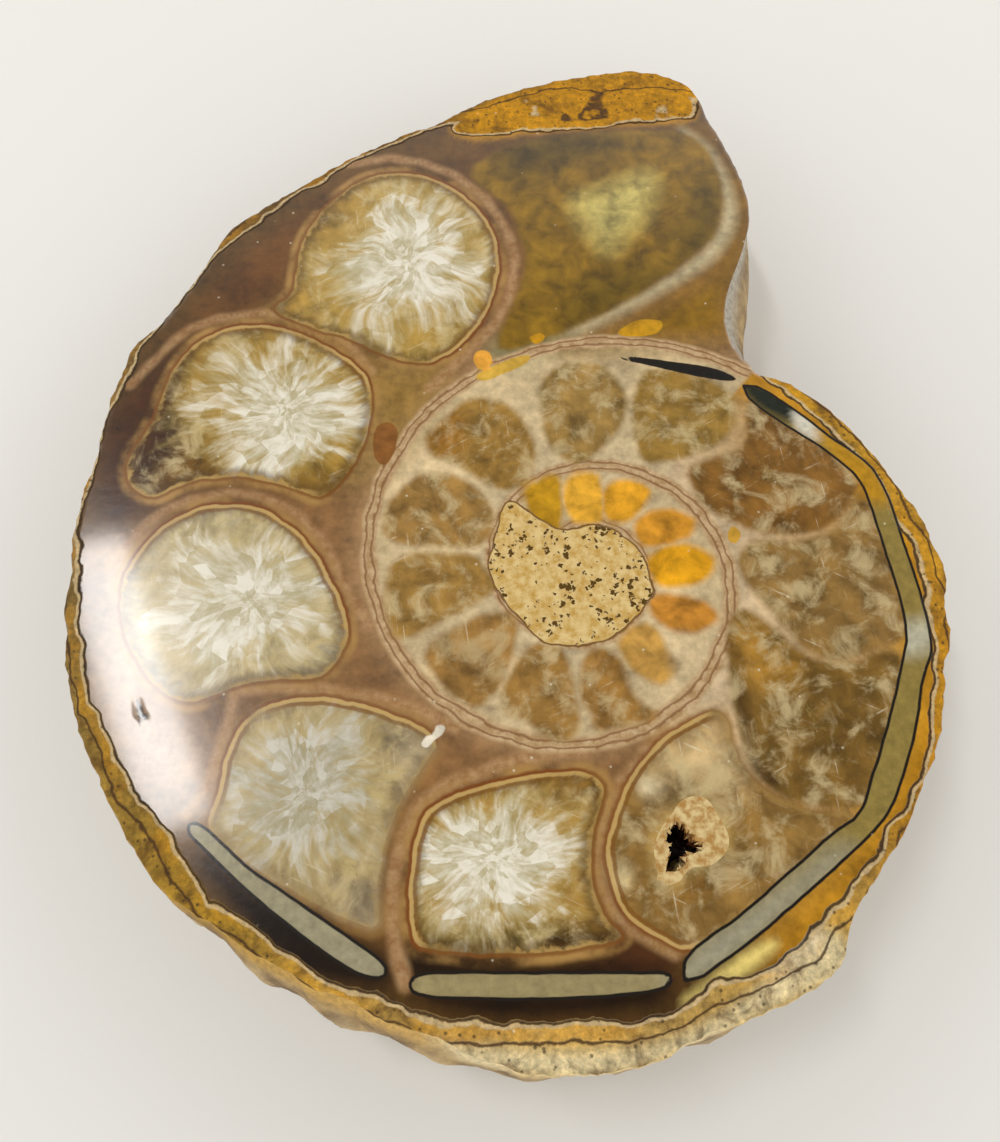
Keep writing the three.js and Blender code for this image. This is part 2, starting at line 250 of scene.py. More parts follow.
# The chambers: each was filled from its walls inwards, first by fine brown fringes, then by pale needles of
# calcite that meet at its middle. The innermost ones hold ochre instead. Outlines run round each filling.
# Each has its filling's colour, the frost of its needles, its fringe in mm, and where the needles meet.
CHAMBERS = [
    ("#B98C2E", 0.10, 0.2, (545, 505),
     [(527, 490), (540, 482), (556, 478), (560, 495), (561, 515), (556, 533), (545, 528), (533, 515),
      (528, 503)]),
    ("#E0A945", 0.10, 0.2, (585, 498),
     [(565, 490), (572, 478), (585, 474), (597, 477), (600, 490), (602, 505), (600, 518), (590, 521),
      (575, 519), (567, 508)]),
    ("#D69C3A", 0.10, 0.2, (625, 500),
     [(604, 500), (607, 488), (620, 482), (635, 483), (648, 490), (645, 500), (636, 512), (625, 520),
      (612, 521), (605, 512)]),
    ("#C98E3A", 0.10, 0.2, (665, 528),
     [(640, 520), (655, 512), (675, 512), (692, 520), (690, 532), (675, 540), (658, 545), (643, 543),
      (636, 532)]),
    ("#D49A33", 0.10, 0.2, (680, 566),
     [(650, 562), (660, 550), (680, 546), (700, 550), (712, 560), (710, 572), (695, 582), (672, 585),
      (655, 580)]),
    ("#B9803A", 0.15, 0.2, (685, 613),
     [(650, 602), (662, 596), (685, 598), (705, 605), (716, 615), (708, 625), (690, 632), (672, 628),
      (655, 615)]),
    ("#B98F4C", 0.20, 0.3, (648, 652),
     [(622, 640), (640, 625), (656, 632), (665, 650), (675, 665), (665, 680), (650, 678), (632, 665),
      (624, 652)]),
    ("#96703C", 0.26, 0.4, (610, 690),
     [(585, 665), (595, 650), (610, 653), (622, 668), (628, 690), (640, 705), (655, 715), (635, 722),
      (600, 727), (593, 712), (582, 695)]),
    ("#96723E", 0.30, 0.4, (540, 690),
     [(522, 660), (530, 650), (545, 645), (558, 650), (568, 672), (574, 700), (577, 722), (570, 735),
      (552, 737), (535, 725), (520, 715), (505, 708), (505, 690), (512, 675)]),
    ("#94703E", 0.25, 0.4, (475, 660),
     [(428, 655), (440, 640), (460, 628), (485, 617), (505, 615), (515, 622), (512, 640), (508, 660),
      (500, 680), (490, 695), (475, 705), (458, 697), (445, 685), (435, 672)]),
    ("#98763F", 0.30, 0.4, (435, 590),
     [(390, 575), (398, 562), (420, 555), (450, 555), (475, 558), (483, 570), (492, 580), (490, 590),
      (475, 602), (455, 612), (435, 622), (415, 632), (398, 635), (390, 615), (388, 595)]),
    ("#967441", 0.32, 0.4, (440, 512),
     [(388, 510), (398, 495), (415, 480), (435, 475), (455, 478), (475, 490), (488, 505), (493, 520),
      (487, 535), (475, 545), (450, 545), (415, 543), (395, 540), (386, 528)]),
    ("#96743C", 0.34, 0.4, (485, 445),
     [(428, 440), (440, 425), (460, 408), (478, 400), (495, 402), (512, 412), (525, 428), (533, 448),
      (530, 468), (522, 482), (505, 487), (488, 482), (470, 470), (452, 460), (436, 455)]),
    ("#967844", 0.36, 0.4, (582, 410),
     [(542, 395), (545, 380), (560, 368), (580, 365), (600, 368), (612, 378), (620, 390), (625, 405),
      (618, 425), (605, 440), (592, 455), (575, 460), (558, 452), (548, 435), (545, 415)]),
    ("#8E7038", 0.34, 0.4, (682, 415),
     [(640, 385), (650, 372), (680, 372), (700, 378), (715, 385), (728, 395), (733, 410), (730, 425),
      (718, 440), (700, 450), (680, 457), (660, 460), (645, 458), (638, 440), (635, 410)]),
    ("#7E5A2C", 0.44, 0.52, (775, 480),
     [(695, 470), (720, 462), (745, 450), (752, 430), (750, 410), (760, 405), (790, 425), (820, 448),
      (845, 472), (850, 485), (842, 505), (825, 522), (800, 530), (770, 530), (740, 520), (715, 508),
      (700, 490)]),
    ("#86683A", 0.44, 0.52, (825, 595),
     [(745, 555), (765, 545), (800, 545), (835, 535), (855, 515), (868, 505), (880, 540), (892, 575),
      (900, 610), (905, 628), (885, 640), (860, 650), (835, 655), (812, 648), (790, 625), (765, 595),
      (748, 575)]),
    ("#74582A", 0.44, 0.52, (815, 720),
     [(733, 640), (740, 615), (755, 620), (780, 640), (800, 658), (830, 668), (860, 665), (890, 655),
      (897, 665), (890, 700), (880, 740), (868, 775), (862, 800), (840, 803), (810, 800), (780, 788),
      (760, 770), (748, 745), (740, 715), (735, 680)]),
    ("#8E6E3C", 0.36, 0.62, (700, 840),
     [(660, 745), (690, 725), (720, 715), (730, 745), (745, 775), (775, 800), (815, 815), (850, 815),
      (830, 840), (780, 880), (735, 915), (690, 945), (660, 935), (630, 915), (615, 885), (610, 850),
      (618, 815), (635, 775)]),
    ("#94723A", 1.08, 1.0, (490, 860),
     [(410, 850), (420, 815), (445, 795), (490, 780), (540, 770), (590, 770), (608, 790), (598, 830),
      (595, 870), (605, 910), (625, 940), (560, 955), (500, 958), (440, 955), (412, 945), (405, 900)]),
    ("#98886A", 1.30, 0.62, (300, 785),
     [(215, 790), (225, 750), (245, 715), (285, 697), (335, 695), (385, 708), (425, 725), (440, 745),
      (425, 770), (405, 800), (390, 840), (382, 880), (380, 930), (350, 925), (310, 905), (265, 880),
      (225, 850), (205, 825)]),
    ("#A89C80", 1.12, 0.8, (245, 600),
     [(120, 580), (140, 545), (175, 515), (215, 502), (260, 505), (300, 530), (330, 570), (350, 620),
      (345, 655), (320, 680), (280, 683), (235, 690), (195, 705), (160, 695), (132, 660), (118, 615)]),
    ("#8C6C30", 1.06, 1.1, (285, 405),
     [(150, 420), (165, 380), (190, 345), (230, 325), (280, 325), (330, 345), (365, 370), (375, 400),
      (368, 440), (350, 475), (320, 500), (290, 490), (240, 480), (190, 485), (155, 500), (130, 490),
      (125, 460)]),
    ("#A08040", 1.0, 1.1, (410, 265),
     [(290, 290), (300, 240), (330, 200), (370, 175), (415, 172), (455, 187), (485, 213), (500, 245),
      (500, 280), (488, 315), (465, 345), (430, 365), (390, 360), (345, 340), (310, 330), (270, 310)]),
    ("#836421", 0.18, 0.5, (610, 215),
     [(470, 175), (500, 150), (560, 135), (640, 130), (690, 135), (715, 165), (723, 205), (710, 240),
      (675, 270), (630, 300), (580, 325), (530, 345), (500, 350), (500, 330), (515, 300), (525, 265),
      (520, 235), (505, 205)]),
]
chamber_loops = [smooth_loop(on_face(outline), 72) for *_, outline in CHAMBERS]
chamber_depths = np.array([signed_distance(points, loop, 14) for loop in chamber_loops])
# Fillings swell past their outlines, in mm: the ochre ones, the early ones, the middle and the last ones.
chamber_depths -= np.repeat([0.25, 0.3, 0.6, 0.0], [6, 9, 4, 6])[:, None]
chamber = chamber_depths.argmin(axis=0)
cell = chamber_depths.min(axis=0)
filling = np.array([linear(colour) for colour, *_ in CHAMBERS])[chamber]
meeting = on_face([middle for *_, middle, _ in CHAMBERS])
half_sizes = np.array([np.ptp(loop, axis=0) / 2 for loop in chamber_loops])
needles = np.column_stack([(points - meeting[chamber]) / half_sizes[chamber], np.zeros(len(points))])
looks = [(frost, fringe, index) for index, (_, frost, fringe, *_) in enumerate(CHAMBERS)]
cell_look = np.array(looks)[chamber]

# Stains in the fillings: iron washed in along the walls, and clear or milky patches where the calcite grew
# alone. Each stain has its colour, the mm it fades over, its strength and its outline.
FILLING_STAINS = [
    ("#3E2410", 2.5, 1.0,
     [(125, 470), (130, 400), (160, 360), (185, 350), (180, 400), (190, 470), (150, 500)]),
    ("#6B4A12", 2.5, 0.8, [(150, 480), (200, 440), (260, 455), (300, 480), (240, 500), (180, 500)]),
    ("#3A2A10", 2.0, 0.9, [(408, 930), (500, 925), (600, 925), (625, 945), (560, 962), (440, 962)]),
    ("#BCAC66", 4.0, 1.0, [(575, 205), (600, 190), (650, 175), (645, 215), (625, 235), (605, 250)]),
    ("#4E3D12", 4.0, 0.9, [(500, 150), (530, 135), (610, 132), (620, 150), (560, 165), (510, 180)]),
    ("#54430F", 4.0, 0.8, [(700, 180), (722, 195), (718, 245), (690, 262), (680, 230)]),
    ("#54430F", 4.0, 0.8, [(590, 280), (660, 265), (680, 275), (620, 305), (570, 325)]),
    ("#9A6A2C", 2.0, 0.7, [(425, 440), (440, 422), (458, 412), (462, 440), (450, 462)]),
    ("#A07838", 2.5, 0.8, [(733, 640), (742, 615), (770, 632), (800, 660), (790, 690), (745, 680)]),
    ("#3E2A12", 1.5, 0.8, [(733, 690), (745, 690), (752, 745), (775, 785), (755, 775), (738, 730)]),
    ("#E0D6B4", 1.5, 0.9, [(640, 782), (650, 778), (664, 784), (660, 794), (645, 794)]),
    ("#E6CF9C", 1.5, 0.9, [(598, 866), (612, 860), (630, 868), (628, 886), (608, 892)]),
    ("#C9B083", 5.0, 0.8, [(650, 765), (690, 730), (722, 725), (740, 775), (720, 790), (665, 800)]),
    ("#6E4E20", 3.0, 0.7,
     [(640, 830), (665, 790), (700, 782), (735, 810), (745, 850), (700, 905), (655, 900)]),
    ("#8E8672", 2.0, 0.8, [(672, 640), (690, 636), (712, 650), (705, 675), (680, 682)]),
]
for code, softness, strength, outline in FILLING_STAINS:
    filling = patch(filling, code, softness, outline, strength)

# The ground between the chambers: mud and shell, beige in the early whorls and red-brown in the last one,
# where it darkens towards the outer wall. Rust and ochre stain the crust outside it.
ground = ramp(whorls,
              [(-3, "#D6C29C"), (-1.0, "#D0B990"), (-0.9, "#CDB592"), (-0.2, "#BC9A68"), (-0.1, "#B98A3E"),
               (0, "#C08A30")])
last_whorl = ramp(whorls,
                  [(-1.0, "#A88660"), (-0.85, "#8C6844"), (-0.5, "#7E5A34"), (-0.15, "#6A4A26"),
                   (0, "#604420")])
LAST_WHORL_ANGLE = -62
LAST_WHORL_BLEND = 10
in_last = (np.clip((LAST_WHORL_ANGLE - turn) / LAST_WHORL_BLEND, 0, 1) * (whorls > -1.02))[:, None]
ground = ground * (1 - in_last) + last_whorl * in_last
GROUND_STAINS = [
    ("#A88A52", 5.0, 0.8,
     [(330, 380), (390, 365), (440, 370), (420, 420), (380, 470), (345, 480), (370, 420)]),
    ("#8A8A62", 4.0, 0.9, [(490, 350), (530, 325), (570, 320), (560, 345), (510, 362)]),
    ("#87641E", 5.0, 1.0,
     [(690, 130), (735, 180), (747, 220), (735, 300), (725, 338), (660, 345), (560, 350), (660, 300),
      (722, 245)]),
    ("#B9AA85", 1.6, 1.0,
     [(680, 128), (712, 150), (732, 190), (735, 225), (715, 258), (680, 282), (630, 310), (570, 338),
      (575, 328), (630, 298), (678, 270), (712, 240), (723, 205), (712, 165)]),
    ("#482A14", 4.0, 1.0,
     [(105, 420), (150, 370), (180, 350), (175, 400), (190, 470), (160, 500), (110, 530), (95, 500)]),
    ("#684422", 3.0, 0.9,
     [(180, 335), (215, 290), (270, 235), (310, 210), (330, 195), (305, 240), (270, 300), (220, 318)]),
    ("#9A7840", 4.0, 0.8,
     [(270, 310), (300, 330), (345, 345), (400, 368), (450, 360), (430, 400), (385, 440), (370, 400),
      (330, 345)]),
    ("#B09070", 6.0, 1.0,
     [(95, 570), (140, 545), (175, 560), (150, 700), (215, 760), (205, 800), (165, 805), (115, 730)]),
    ("#1E1004", 2.0, 0.95,
     [(210, 850), (260, 890), (330, 925), (385, 950), (385, 990), (300, 975), (230, 910), (200, 870)]),
    ("#241404", 2.0, 0.95,
     [(405, 950), (500, 962), (640, 950), (672, 965), (668, 1005), (580, 1022), (480, 1022), (420, 1005)]),
    ("#4A2A16", 4.0, 0.9, [(600, 860), (620, 920), (670, 950), (660, 968), (610, 960), (595, 900)]),
]
for code, softness, strength, outline in GROUND_STAINS:
    ground = patch(ground, code, softness, outline, strength)
TOP_CAP = [(450, 128), (500, 98), (560, 82), (640, 74), (685, 84), (698, 112), (680, 124), (620, 126),
           (540, 132), (480, 140)]
ground = patch(ground, "#C48C26", 1.0, TOP_CAP)
rind = np.where(whorls > -0.5, np.clip(whorls * np.hypot(*points.T) * np.log(WHORL_EXPANSION), -4, 8), -4)
crust = ramp(-turn,
             [(-51, "#B98A2A"), (-20, "#C99A3A"), (10, "#B8862C"), (40, "#C08A26"), (60, "#C9A458"),
              (100, "#CDA862"), (118, "#C9A050"), (135, "#B48C34"), (160, "#957838"), (185, "#84693C"),
              (215, "#7E6438"), (240, "#6E4E24"), (262, "#8A6420"), (275, "#D2992E"), (310, "#C9922E")])
crust = patch(crust, "#C48C26", 1.0, TOP_CAP)
rind = np.maximum(rind, np.minimum(-signed_distance(points, smooth_loop(on_face(TOP_CAP), 60)), 1.2))

# The septa: thin shell walls that bow between two chambers, each drawn as its width in mm and its middle
# line. The last chambers lie in the same order, each behind its own arch.
FIRST_ARCHED = 18
SEPTA = [
    (0.7, [(690, 722), (650, 745), (625, 775), (605, 810), (597, 850), (600, 880), (615, 915), (640, 935),
           (675, 955)]),
    (1.0, [(610, 742), (560, 752), (500, 765), (450, 783), (420, 805), (402, 840), (393, 880), (392, 920),
           (396, 950), (405, 985)]),
    (0.7, [(455, 728), (430, 715), (380, 697), (330, 690), (280, 688), (235, 692), (222, 745), (205, 790),
           (186, 815)]),
    (0.6, [(110, 565), (145, 525), (165, 510), (190, 500), (230, 492), (265, 497), (300, 515), (325, 545),
           (345, 585), (368, 625)]),
    (0.7, [(130, 385), (170, 345), (190, 328), (220, 318), (260, 313), (300, 317), (330, 328), (350, 345),
           (372, 372)]),
    (0.8, [(345, 165), (390, 158), (420, 162), (455, 175), (485, 198), (507, 230), (515, 260), (510, 295),
           (495, 325), (470, 350), (430, 388)]),
]
CREAM_CRUST = [(425, 1040), (480, 1046), (560, 1052), (640, 1046), (700, 1025), (760, 985), (800, 940),
               (835, 930), (850, 960), (820, 985), (760, 1015), (690, 1050), (600, 1078), (520, 1075),
               (450, 1062)]
crust = patch(crust, "#E2CFA0", 1.2, CREAM_CRUST)
crust = patch(crust, "#B4AC9C", 2.0, [(718, 225), (765, 215), (768, 345), (718, 350)])
crust = patch(crust, "#E6D8B4", 1.2,
              [(765, 962), (785, 940), (815, 934), (826, 944), (800, 958), (780, 972)])
# A pale gold lens by the lower rim: partly its own colour, partly a painted highlight where the polish
# shone.
ground = patch(ground, "#DCC678", 1.0,
               [(682, 1002), (700, 985), (735, 958), (765, 942), (778, 946), (745, 976), (710, 1000)])
outer_wall = np.clip((whorls + 0.5) * 20, 0, 1)
septum_depths = np.array([signed_distance(points, on_face(line), 4, closed=False) - width / 2
                          for width, line in SEPTA])
septum = septum_depths.min(axis=0)
arch = np.full(len(points), 4.0)
for index, depths in enumerate(septum_depths):
    behind = chamber == FIRST_ARCHED + index
    arch[behind] = depths[behind]

# The siphuncle: the tube that ran through every chamber along the outer wall, now a black-edged band of
# grey and ochre stone broken into lengths.
SIPHUNCLE = [
    ("#1A1712", [(620, 358), (640, 358), (670, 362), (700, 366), (725, 373), (736, 380), (715, 379),
                 (680, 372), (645, 364)]),
    ("#8F7C44", [(742, 385), (760, 387), (800, 413), (830, 436), (870, 465), (890, 500), (905, 545),
                 (920, 590), (930, 630), (932, 655), (923, 680), (918, 720), (910, 755), (895, 800),
                 (880, 825), (840, 865), (800, 900), (760, 935), (720, 965), (695, 981), (680, 978),
                 (690, 952), (740, 915), (780, 880), (830, 835), (858, 815), (866, 795), (880, 750),
                 (890, 715), (900, 670), (906, 635), (900, 600), (886, 555), (868, 500), (855, 475),
                 (820, 447), (780, 422), (750, 400)]),
    ("#9A8C64", [(409, 985), (415, 976), (440, 972), (540, 972), (640, 972), (665, 973), (673, 979),
                 (665, 988), (640, 994), (590, 998), (530, 1000), (470, 999), (425, 997), (412, 992)]),
    ("#9C9478", [(187, 826), (196, 822), (215, 836), (247, 866), (280, 889), (313, 912), (350, 937),
                 (377, 957), (387, 970), (380, 979), (353, 972), (313, 945), (280, 919), (247, 892),
                 (215, 861), (199, 845), (189, 835)]),
]
tube_depths = np.array([signed_distance(points, smooth_loop(on_face(outline), 90))
                        for _, outline in SIPHUNCLE])
tube = tube_depths.min(axis=0)
tube_fill = np.array([linear(colour) for colour, _ in SIPHUNCLE])[tube_depths.argmin(axis=0)]
TUBE_STAINS = [
    ("#20261C", 1.5, 1.0, [(738, 380), (770, 388), (800, 410), (790, 422), (755, 405)]),
    ("#D8D2C0", 1.0, 1.0, [(793, 412), (815, 420), (820, 440), (800, 432)]),
    ("#B98A2E", 2.0, 1.0, [(820, 430), (875, 465), (890, 500), (865, 500), (830, 455)]),
    ("#B9B49C", 1.5, 0.8, [(898, 625), (932, 620), (934, 650), (900, 655)]),
    ("#9C967E", 3.0, 1.0, [(800, 870), (830, 850), (850, 860), (720, 975), (670, 985), (690, 945)]),
]
for code, softness, strength, outline in TUBE_STAINS:
    tube_fill = patch(tube_fill, code, softness, outline, strength)

# The first whorls: a sandy core of cream grains with open pores, inside a thin brown skin.
CORE = [(505, 503), (495, 540), (488, 562), (497, 590), (518, 617), (540, 640), (580, 646), (620, 632),
        (650, 600), (652, 580), (635, 545), (600, 525), (565, 530), (540, 520), (520, 505)]
core = signed_distance(points, smooth_loop(on_face(CORE), 80))

# Small marks on the polish: an ochre dot and lens by the whorl wall, a bruised cell, a chip, a milky star.
MARKS = [
    ("#E0A24A", [(473, 360), (476, 352), (483, 350), (490, 353), (492, 361), (487, 368), (479, 369)]),
    ("#C9A24A", [(474, 376), (490, 368), (512, 358), (530, 354), (528, 362), (508, 372), (485, 380)]),
    ("#8E5E32", [(373, 445), (376, 428), (388, 422), (398, 430), (396, 448), (386, 464), (376, 460)]),
    ("#E6DCC8", [(421, 744), (427, 736), (434, 734), (437, 725), (445, 727), (441, 735), (434, 740),
                 (427, 748)]),
    ("#D9A84A", [(728, 533), (733, 526), (740, 533), (736, 543), (729, 541)]),
    ("#D9A032", [(530, 338), (540, 333), (546, 338), (536, 344)]),
    ("#2E2214", [(136, 694), (141, 706), (149, 720), (143, 720), (140, 728), (137, 712)]),
    ("#C9962E", [(618, 332), (640, 320), (662, 322), (655, 334), (630, 337)]),
]
mark_depths = np.array([signed_distance(points, smooth_loop(on_face(outline), 40)) for _, outline in MARKS])
mark = mark_depths.min(axis=0)
mark_colour = np.array([linear(colour) for colour, _ in MARKS])[mark_depths.argmin(axis=0)]

# Pits in the polish, cut into the mesh: the pocket that the crystals line, and a small wedge-shaped chip.
POCKET = [(655, 845), (662, 828), (672, 815), (680, 803), (695, 797), (708, 802), (718, 818), (727, 835),
          (726, 850), (715, 862), (705, 866), (690, 868), (680, 880), (668, 884), (660, 876), (656, 860)]
POCKET_DEPTH = 5.0
POCKET_LEDGE = 0.55
POCKET_SLOPE = 2.2
CHIP_DEPTH = 0.12
CHIP_SLOPE = 0.3
CHIP = [(136, 696), (140, 706), (148, 719), (142, 720), (140, 727), (138, 712)]
filling = patch(filling, "#C8AA6C", 2.5, POCKET)
pocket_loop = smooth_loop(on_face(POCKET), 96)
pocket_in = np.clip(-(signed_distance(points, pocket_loop) + POCKET_LEDGE) / POCKET_SLOPE, 0, 1)
chip_in = np.clip(-signed_distance(points, smooth_loop(on_face(CHIP), 40)) / CHIP_SLOPE, 0, 1)
top_drop = POCKET_DEPTH * np.sqrt(1 - (1 - pocket_in)**2) + CHIP_DEPTH * chip_in
surface[:TOP_ROWS].reshape(-1, 3)[:, 2] -= top_drop[:-1]

vertices = np.vstack([surface.reshape(-1, 3), [(0, 0, 0)], [(0, 0, UMBILICUS_ROOF - THICKNESS)]])
rows = len(surface)
number = np.arange(rows * COLUMNS).reshape(rows, COLUMNS)
beside = np.roll(number, -1, axis=1)
quads = np.stack([number[:-1], beside[:-1], beside[1:], number[1:]], axis=-1).reshape(-1, 4)
crown = np.stack([np.full(COLUMNS, rows * COLUMNS), beside[0], number[0]], axis=-1)
heel = np.stack([number[-1], beside[-1], np.full(COLUMNS, rows * COLUMNS + 1)], axis=-1)
fossil_mesh = bpy.data.meshes.new("ammonite_slice")
fossil_mesh.from_pydata((AXIS + vertices * MM).tolist(), [],
                        quads.tolist() + crown.tolist() + heel.tolist())
# The polish ends on the rounding of the edge; the wall and the back are weathered.
slots = np.concatenate([np.repeat((np.arange(rows - 1) >= FACE_ROWS + 1).astype(int), COLUMNS),
                        np.zeros(COLUMNS, int), np.ones(COLUMNS, int)])
fossil_mesh.polygons.foreach_set("material_index", slots.astype(np.int32))
fossil_mesh.shade_smooth()


def set_attribute(mesh, name, values, rest):
    """A value for each vertex: those of the face rows and its middle as given, all others at rest."""
    values = values.reshape(len(points), -1)
    whole = np.zeros((len(vertices), values.shape[1]))
    whole[:len(points) - 1] = values[:-1]
    whole[len(points) - 1:-2] = rest
    whole[-2] = values[-1]
    kind, field = ("FLOAT", "value") if values.shape[1] == 1 else ("FLOAT_VECTOR", "vector")
    mesh.attributes.new(name, kind, "POINT").data.foreach_set(field, whole.ravel())


edge_crust = np.tile(crust[-1 - COLUMNS:-1], (rows - TOP_ROWS, 1))
FIELDS = [
    ("cell", cell, 4),
    ("filling", filling, 0),
    ("needles", needles, 0),
    ("cell_look", cell_look, 0),
    ("ground", ground, 0),
    ("crust", crust, edge_crust),
    ("rind", rind, 0),
    ("outer_wall", outer_wall, 1),
    ("septum", septum, 4),
    ("arch", arch, 4),
    ("tube", tube, 4),
    ("tube_fill", tube_fill, 0),
    ("core", core, 4),
    ("mark", mark, 4),
    ("mark_colour", mark_colour, 0),
]
for name, values, rest in FIELDS:
    set_attribute(fossil_mesh, name, values, rest)


def add(tree, kind, settings, *values, **named):
    """Adds one node with its settings; values go to its open inputs in order, named ones by name, each a
    link or a constant. Returns its first open output."""
    node = tree.nodes.new(kind)
    for name, value in settings.items():
        setattr(node, name, value)
    sockets = [socket for socket in node.inputs if socket.enabled]
    pairs = list(zip(sockets, values))
    pairs += [(node.inputs[name.replace("_", " ")], value) for name, value in named.items()]
    for socket, value in pairs:
        if isinstance(value, bpy.types.NodeSocket):
            tree.links.new(value, socket)
        elif value is not None:
            socket.default_value = value
    return next((socket for socket in node.outputs if socket.enabled), None)


def paint(code):
    """A hex code as the four linear numbers of a colour input."""
    return (*linear(code), 1)


MIX = ("ShaderNodeMix", {"data_type": "RGBA"})
TIMES = ("ShaderNodeMath", {"operation": "MULTIPLY"})
PLUS = ("ShaderNodeMath", {"operation": "ADD"})
MINUS = ("ShaderNodeMath", {"operation": "SUBTRACT"})
SIZE = ("ShaderNodeMath", {"operation": "ABSOLUTE"})
STEP = ("ShaderNodeMapRange", {"interpolation_type": "SMOOTHSTEP"})
NOISE = ("ShaderNodeTexNoise", {})
CELLS = ("ShaderNodeTexVoronoi", {})
SCALE = ("ShaderNodeVectorMath", {"operation": "SCALE"})
SHIFT = ("ShaderNodeVectorMath", {"operation": "ADD"})
RANGE = ("ShaderNodeMapRange", {})
AXES = ("ShaderNodeSeparateXYZ", {})


def new_material(name):
    """A material of this name with no nodes yet, and its tree."""
    material = bpy.data.materials.new(name)
    material.use_nodes = True
    material.node_tree.nodes.clear()
    return material, material.node_tree


# Polished calcite and shell: gemstone-smooth, with a clear gloss over stone that is deep and cloudy
# underneath. Colours lie in sharp-edged fields, as the saw met them, and fine brown lines follow every
# shell wall.
polished, tree = new_material("polished_calcite")


def place_in_mm(tree):
    """Where the surface is, in mm about the coil's axis."""
    place = add(tree, "ShaderNodeTexCoord", {}).node.outputs["Object"]
    place = add(tree, "ShaderNodeVectorMath", {"operation": "SUBTRACT"}, place, tuple(AXIS))
    return add(tree, *SCALE, place, 1 / MM)


def attribute(tree, name, output):
    """One output of a mesh attribute."""
    return add(tree, "ShaderNodeAttribute", {"attribute_name": name}).node.outputs[output]


# Noise is given in waves to the mm: clouds of 6 mm, grains of 1 mm, ten times coarser than the real ones so
# that they show, and a waver of 2 mm that keeps every traced line from looking drawn.
place = place_in_mm(tree)
cloud = add(tree, *NOISE, place, 0.16, 5, 0.6)
grain = add(tree, *NOISE, place, 0.9, 4, 0.65)
waver = add(tree, *MINUS, add(tree, *NOISE, place, 0.45, 3, 0.5), 0.5)

# The ground of mud and shell, clouded and grained.
ground_shade = add(tree, *PLUS, add(tree, *TIMES, cloud, 0.9), add(tree, *TIMES, grain, 0.5))
ground_shade = add(tree, *RANGE, ground_shade, 0.48, 0.92, 0.5, 1.4)
colour = add(tree, *SCALE, attribute(tree, "ground", "Vector"), ground_shade)

# Millimetres from the nearest turn of the shell wall, a spiral that widens by the same share each turn.
radius = add(tree, "ShaderNodeVectorMath", {"operation": "LENGTH"},
             add(tree, "ShaderNodeVectorMath", {"operation": "MULTIPLY"}, place, (1, 1, 0)))
across = add(tree, *AXES, place)
angle = add(tree, "ShaderNodeMath", {"operation": "ARCTAN2"}, across.node.outputs["Y"], across)
growth = add(tree, "ShaderNodeMath", {"operation": "LOGARITHM"}, add(tree, *TIMES, radius, 1 / WALL_RADIUS),
             WHORL_EXPANSION)
growth = add(tree, *PLUS, growth, add(tree, *TIMES, angle, 0.5 / np.pi))
growth = add(tree, *MINUS,
             add(tree, "ShaderNodeMath", {"operation": "FRACT"}, add(tree, *PLUS, growth, 0.5)), 0.5)
wall_mm = add(tree, *TIMES, add(tree, *TIMES, growth, radius), np.log(WHORL_EXPANSION))
wall_mm = add(tree, *PLUS, wall_mm, add(tree, *TIMES, waver, 1.1))

# The septa, bands of pale shell.
septum_mm = add(tree, *PLUS, attribute(tree, "septum", "Fac"), add(tree, *TIMES, waver, 0.7))
shell = add(tree, *MIX, add(tree, *STEP, grain, 0.3, 0.7), paint("#A8875E"), paint("#CDB18A"))
septum_shell = add(tree, *MIX, add(tree, *STEP, grain, 0.3, 0.7), paint("#9A7048"), paint("#BE9A70"))
colour = add(tree, *MIX, add(tree, *TIMES, add(tree, *STEP, septum_mm, 0.6, -0.3), 0.8), colour,
             septum_shell)

# The walls of the inner turns: a band of shell between two brown hairlines.
inner_wall = add(tree, *MINUS, 1.0, attribute(tree, "outer_wall", "Fac"))
wall_size = add(tree, *SIZE, wall_mm)
wall_band = add(tree, *TIMES, add(tree, *STEP, wall_size, 1.1, 0.6), inner_wall)
colour = add(tree, *MIX, wall_band, colour, shell)
hairline = add(tree, *STEP, add(tree, *SIZE, add(tree, *MINUS, wall_size, 0.38)), 0.18, 0.04)
hairline = add(tree, *TIMES, add(tree, *TIMES, hairline, inner_wall), 0.7)
colour = add(tree, *MIX, hairline, colour, paint("#7A5030"))

# The needles in a chamber: streaks along each bearing from the place where they meet, and the teeth that
# they leave along its wall.
needle_place = attribute(tree, "needles", "Vector")
look = add(tree, *AXES, attribute(tree, "cell_look", "Vector"))
frost, fringe, seed = look, look.node.outputs["Y"], look.node.outputs["Z"]
curl = add(tree, *NOISE, place, 0.16, 0.6, 0.5).node.outputs["Color"]
curl = add(tree, "ShaderNodeVectorMath", {"operation": "SUBTRACT"}, curl, (0.5, 0.5, 0.5))
needle_place = add(tree, "ShaderNodeVectorMath", {"operation": "MULTIPLY_ADD"}, curl, (0.4, 0.4, 0),
                   needle_place)
from_middle = add(tree, "ShaderNodeVectorMath", {"operation": "LENGTH"}, needle_place)
bearing = add(tree, "ShaderNodeMath", {"operation": "DIVIDE"}, 1.12, add(tree, *PLUS, from_middle, 0.12))
bearing = add(tree, *SCALE, needle_place, bearing)
drift = add(tree, "ShaderNodeCombineXYZ", {}, 0.0, 0.0,
            add(tree, *PLUS, add(tree, *TIMES, from_middle, 0.35), seed))
bearing = add(tree, *SHIFT, bearing, drift)
arms = add(tree, *MINUS, add(tree, *NOISE, bearing, 1.9, 3, 0.6), 0.5)
spines = add(tree, *MINUS, add(tree, *NOISE, bearing, 9.0, 3, 0.6), 0.5)
teeth = add(tree, *MINUS, add(tree, *NOISE, bearing, 15.0, 3, 0.6), 0.5)
